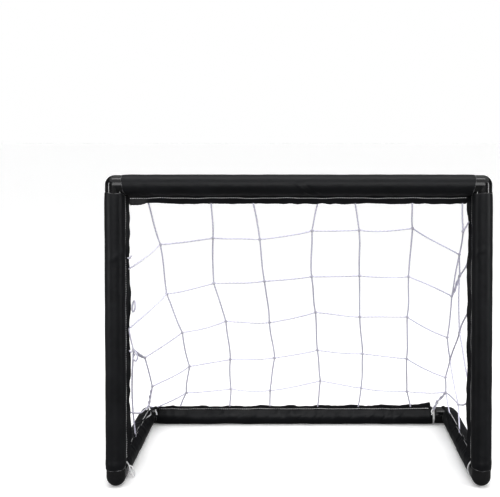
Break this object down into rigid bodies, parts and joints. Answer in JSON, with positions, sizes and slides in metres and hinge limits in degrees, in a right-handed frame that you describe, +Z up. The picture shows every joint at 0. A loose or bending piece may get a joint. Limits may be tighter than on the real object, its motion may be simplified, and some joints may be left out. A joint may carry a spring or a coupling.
{
  "type": "mini hockey goal",
  "caption": "Small free-standing hockey goal: push-fit plastic tube frame in sewn black fabric sleeves, with a knotted white net sloping from the crossbar to the rear bar.",
  "frame": {"origin": "on the floor, under the middle of the whole goal", "axes": "+X along the crossbar to the right seen from the mouth, -Y out of the mouth, +Z up"},
  "size_m": [0.56, 0.32, 0.453],
  "materials": {
    "frame_tube": "extruded white plastic tube, hidden in the sleeves",
    "elbow": "glossy black moulded plastic",
    "sleeve": "black coated woven fabric, satin, light stitching",
    "net": "thin white knotted cord",
    "tie_cord": "thin white cord"
  },
  "bodies": {
    "rear_bar": {"rear_tube": "frame_tube", "rear_left_elbow": "elbow", "rear_right_elbow": "elbow", "rear_sleeve": "sleeve", "rear_left_tie": "tie_cord", "rear_right_tie": "tie_cord"},
    "left_side": {"left_post_tube": "frame_tube", "left_foot_elbow": "elbow", "left_rail_tube": "frame_tube", "left_post_sleeve": "sleeve", "left_rail_sleeve": "sleeve", "left_foot_tie": "tie_cord", "net_left": "net", "net_back": "net"},
    "right_side": {"right_post_tube": "frame_tube", "right_foot_elbow": "elbow", "right_rail_tube": "frame_tube", "right_post_sleeve": "sleeve", "right_rail_sleeve": "sleeve", "right_foot_tie": "tie_cord", "net_right": "net"},
    "crossbar": {"crossbar_tube": "frame_tube", "top_left_elbow": "elbow", "top_right_elbow": "elbow", "crossbar_sleeve": "sleeve"}
  },
  "joints": [
    {"name": "left_side_pull", "type": "slide", "parent": "rear_bar", "child": "left_side", "axis": [0, -1, 0], "range_m": [0, 0.035]},
    {"name": "right_side_pull", "type": "slide", "parent": "rear_bar", "child": "right_side", "axis": [0, -1, 0], "range_m": [0, 0.035]},
    {"name": "crossbar_lift", "type": "slide", "parent": "left_side", "child": "crossbar", "axis": [0, 0, 1], "range_m": [0, 0.035]}
  ],
  "couplings": [
    {"joint": "right_side_pull", "follows": "left_side_pull", "ratio": 1}
  ]
}
